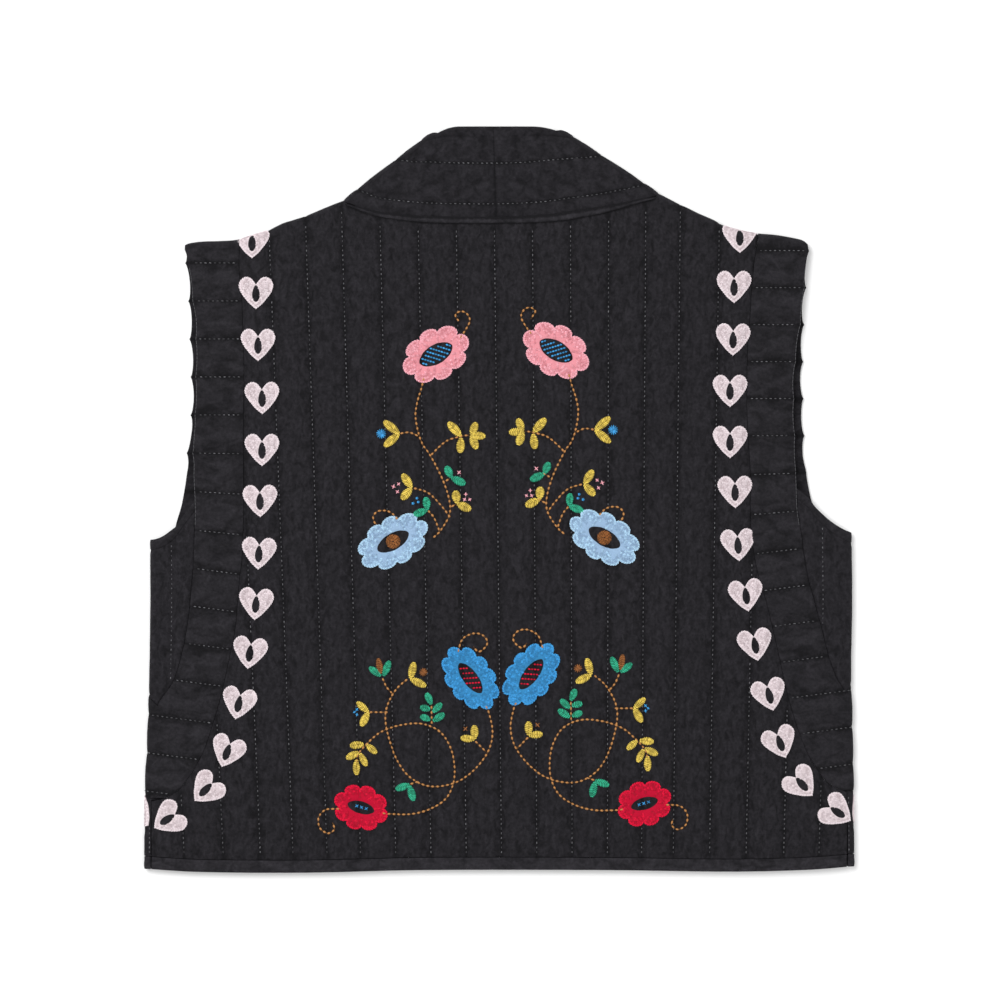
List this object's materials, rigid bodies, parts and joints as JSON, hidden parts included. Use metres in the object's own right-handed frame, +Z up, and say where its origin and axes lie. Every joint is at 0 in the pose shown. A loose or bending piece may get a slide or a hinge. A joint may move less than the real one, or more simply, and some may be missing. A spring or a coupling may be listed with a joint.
{
  "type": "quilted waistcoat laid flat",
  "caption": "Quilted cotton waistcoat with a wide band collar, side panels round the armholes and an embroidered back, laid flat with its back up.",
  "frame": {"origin": "on the table, under the middle of the waistcoat's bounding box", "axes": "+Z up from the table to the back of the waistcoat, +Y from the hem to the collar, +X across the back to the right"},
  "size_m": [0.5526, 0.5797, 0.0088],
  "materials": {
    "cloth": "matt crinkled cotton gauze",
    "thread": "matt cotton thread"
  },
  "bodies": {
    "root": {"back": "cloth", "neck_binding": "cloth", "hem_back": "cloth", "front_left": "cloth", "side_panel_left": "cloth", "underarm_wedge_left": "cloth", "underarm_binding_left": "cloth", "collar_left": "cloth", "hem_front_left": "cloth", "front_right": "cloth", "side_panel_right": "cloth", "underarm_wedge_right": "cloth", "underarm_binding_right": "cloth", "collar_right": "cloth", "hem_front_right": "cloth"}
  },
  "joints": []
}
